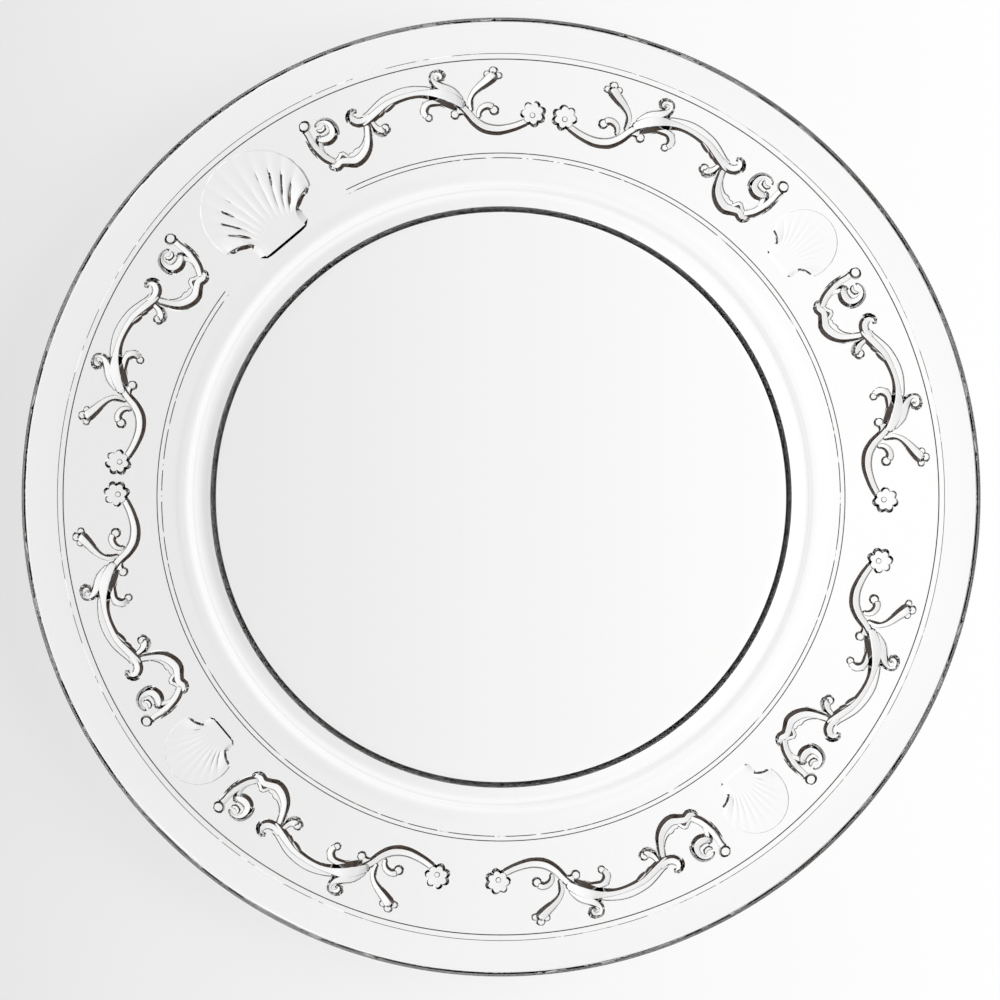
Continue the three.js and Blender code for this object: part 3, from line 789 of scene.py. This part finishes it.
grain = plate.data.attributes.new("mould_wall", "FLOAT", "FACE")
for face in plate.data.polygons:
    radius = math.hypot(*face.center[:2]) / MM
    grain.data[face.index].value = WALL_GRAIN if radius < foot and abs(face.normal.z) < WALL_STEEP else 0
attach(plate, "root")
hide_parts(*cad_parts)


# The stage
# A pale opal table lit from below, as clear glass is photographed. For rays that have passed through
# glass the table is clear and a graded light panel far below it shows instead, which gives the plate
# its tones. A soft lamp above gives the table the plate's faint shadow.
TABLE_HALF_SIZE = 3
TABLE_DROP = 0.0002
TABLE_SPAN = 0.15
TABLE_GAIN = 1
PANEL_HALF_SIZE = 8
PANEL_DEPTH = 1
PANEL_SPAN = 1.5
PANEL_GAIN = 1.08
# Places from the left (-1) to the right (1) of the span, each with its tone.
TABLE_STOPS = [(-1, 0.74), (-0.5, 0.8), (0, 0.85), (0.6, 0.9), (1, 0.92)]
PANEL_STOPS = [
    (-1, 0.85), (-0.56, 0.85), (-0.48, 0.4), (-0.33, 0.4), (-0.24, 0.68), (-0.15, 0.82),
    (-0.09, 0.83), (0, 0.91), (0.09, 0.98), (0.33, 1.15), (1, 0.9),
]
VIEW_TURN = math.radians(-40)
toward_right = Vector((math.cos(VIEW_TURN), math.sin(VIEW_TURN), 0))


def plane(name, half_size, height):
    """A level square."""
    mesh = bpy.data.meshes.new(name)
    mesh.from_pydata(
        [(x * half_size, y * half_size, height) for x, y in ((-1, -1), (1, -1), (1, 1), (-1, 1))],
        [],
        [(0, 1, 2, 3)],
    )
    return linked(name, mesh)


def light_table(tree, half_span, gain, stops):
    """A glow that changes towards the right of the picture."""
    where = add(tree, "ShaderNodeTexCoord")
    aside = add(tree, "ShaderNodeVectorMath", {
        0: where.outputs["Object"], 1: toward_right,
    }, operation="DOT_PRODUCT")
    share = add(tree, "ShaderNodeMapRange", {
        "Value": aside.outputs["Value"], "From Min": -half_span, "From Max": half_span,
    })
    ramp = add(tree, "ShaderNodeValToRGB", {"Fac": share.outputs["Result"]})
    for position, _ in stops[1:-1]:
        ramp.color_ramp.elements.new((position + 1) / 2)
    for element, (position, tone) in zip(ramp.color_ramp.elements, stops):
        element.position = (position + 1) / 2
        element.color = (tone, tone, tone, 1)
    return add(tree, "ShaderNodeEmission", {"Color": ramp.outputs["Color"], "Strength": gain})


floor = plane("table_top", TABLE_HALF_SIZE, -TABLE_DROP)
top = bpy.data.materials.new("opal_table_top")
top.use_nodes = True
tree = top.node_tree
tree.nodes.clear()
glow = light_table(tree, TABLE_SPAN, TABLE_GAIN, TABLE_STOPS)
matt = add(tree, "ShaderNodeBsdfDiffuse", {"Color": linear("#505050")})
lit = add(tree, "ShaderNodeAddShader", {0: glow.outputs[0], 1: matt.outputs[0]})
clear = add(tree, "ShaderNodeBsdfTransparent")
rays = add(tree, "ShaderNodeLightPath")
mixed = add(tree, "ShaderNodeMixShader", {
    0: rays.outputs["Is Transmission Ray"], 1: lit.outputs[0], 2: clear.outputs[0],
})
add(tree, "ShaderNodeOutputMaterial", {"Surface": mixed.outputs[0]})
floor.data.materials.append(top)

panel = plane("light_panel", PANEL_HALF_SIZE, -PANEL_DEPTH)
opal = bpy.data.materials.new("opal_light_panel")
opal.use_nodes = True
tree = opal.node_tree
tree.nodes.clear()
glow = light_table(tree, PANEL_SPAN, PANEL_GAIN, PANEL_STOPS)
add(tree, "ShaderNodeOutputMaterial", {"Surface": glow.outputs[0]})
panel.data.materials.append(opal)

LAMP_DISTANCE = 2
LAMP_LEAN = math.radians(50)
LAMP_SIZE = 1.6
LAMP_WATTS = 60
soft = bpy.data.lights.new("soft_box", "AREA")
soft.size = LAMP_SIZE
soft.energy = LAMP_WATTS
lamp = bpy.data.objects.new("soft_box", soft)
scene.collection.objects.link(lamp)
toward_lamp = toward_right * math.sin(LAMP_LEAN) + Vector((0, 0, math.cos(LAMP_LEAN)))
lamp.location = toward_lamp * LAMP_DISTANCE
lamp.rotation_euler = toward_lamp.to_track_quat("Z", "Y").to_euler()
lamp.visible_glossy = False
lamp.visible_transmission = False

# The room is nearly dark and slightly warm overhead, which makes the steep lines of the glass dark
# brown, and pale towards the horizon. Seen directly it is a plain pale backdrop.
CEILING_START = 0.5
CEILING_FULL = 0.9
CEILING_LEAST = 0.01
CEILING_LIGHT = 0.04
WALL_FULL = 0.2
WALL_TOP = 0.4
WALL_LIGHT = 0.6
world = bpy.data.worlds.new("studio")
scene.world = world
world.use_nodes = True
tree = world.node_tree
tree.nodes.clear()
where = add(tree, "ShaderNodeTexCoord")
parts = add(tree, "ShaderNodeSeparateXYZ", {0: where.outputs["Generated"]})
ceiling = add(tree, "ShaderNodeMapRange", {
    "Value": parts.outputs["Z"],
    "From Min": CEILING_START,
    "From Max": CEILING_FULL,
    "To Min": CEILING_LEAST,
    "To Max": CEILING_LIGHT,
})
walls = add(tree, "ShaderNodeMapRange", {
    "Value": parts.outputs["Z"],
    "From Min": WALL_FULL,
    "From Max": WALL_TOP,
    "To Min": WALL_LIGHT,
    "To Max": 0.0,
})
dusk = add(tree, "ShaderNodeBackground", {
    "Color": linear("#ffcba8"), "Strength": ceiling.outputs["Result"],
})
day = add(tree, "ShaderNodeBackground", {"Color": linear("#f4f4f4"), "Strength": walls.outputs["Result"]})
dim = add(tree, "ShaderNodeAddShader", {0: dusk.outputs[0], 1: day.outputs[0]})
pale = add(tree, "ShaderNodeBackground", {"Color": linear("#f4f4f4")})
rays = add(tree, "ShaderNodeLightPath")
backdrop = add(tree, "ShaderNodeMixShader", {
    0: rays.outputs["Is Camera Ray"], 1: dim.outputs[0], 2: pale.outputs[0],
})
add(tree, "ShaderNodeOutputWorld", {"Surface": backdrop.outputs[0]})

# The camera looks straight down and is turned to bring the large shell to the upper left. The
# plate's centre is a few pixels from the middle of the picture.
CAMERA_HEIGHT = 1.4
RIM_PLANE = 0.019
FIELD = 0.2815
SENSOR = 36
IMAGE_SIZE = 1000
PHOTO_CENTRE = (501, 497)
PIXEL = FIELD / IMAGE_SIZE
lens = bpy.data.cameras.new("overhead")
lens.sensor_width = SENSOR
lens.lens = SENSOR * (CAMERA_HEIGHT - RIM_PLANE) / FIELD
camera = bpy.data.objects.new("overhead", lens)
scene.collection.objects.link(camera)
toward_top = Vector((-math.sin(VIEW_TURN), math.cos(VIEW_TURN), 0))
aside, down = [IMAGE_SIZE / 2 - middle for middle in PHOTO_CENTRE]
aim = toward_right * aside * PIXEL - toward_top * down * PIXEL
camera.location = (aim.x, aim.y, CAMERA_HEIGHT)
camera.rotation_euler = (0, 0, VIEW_TURN)
scene.camera = camera
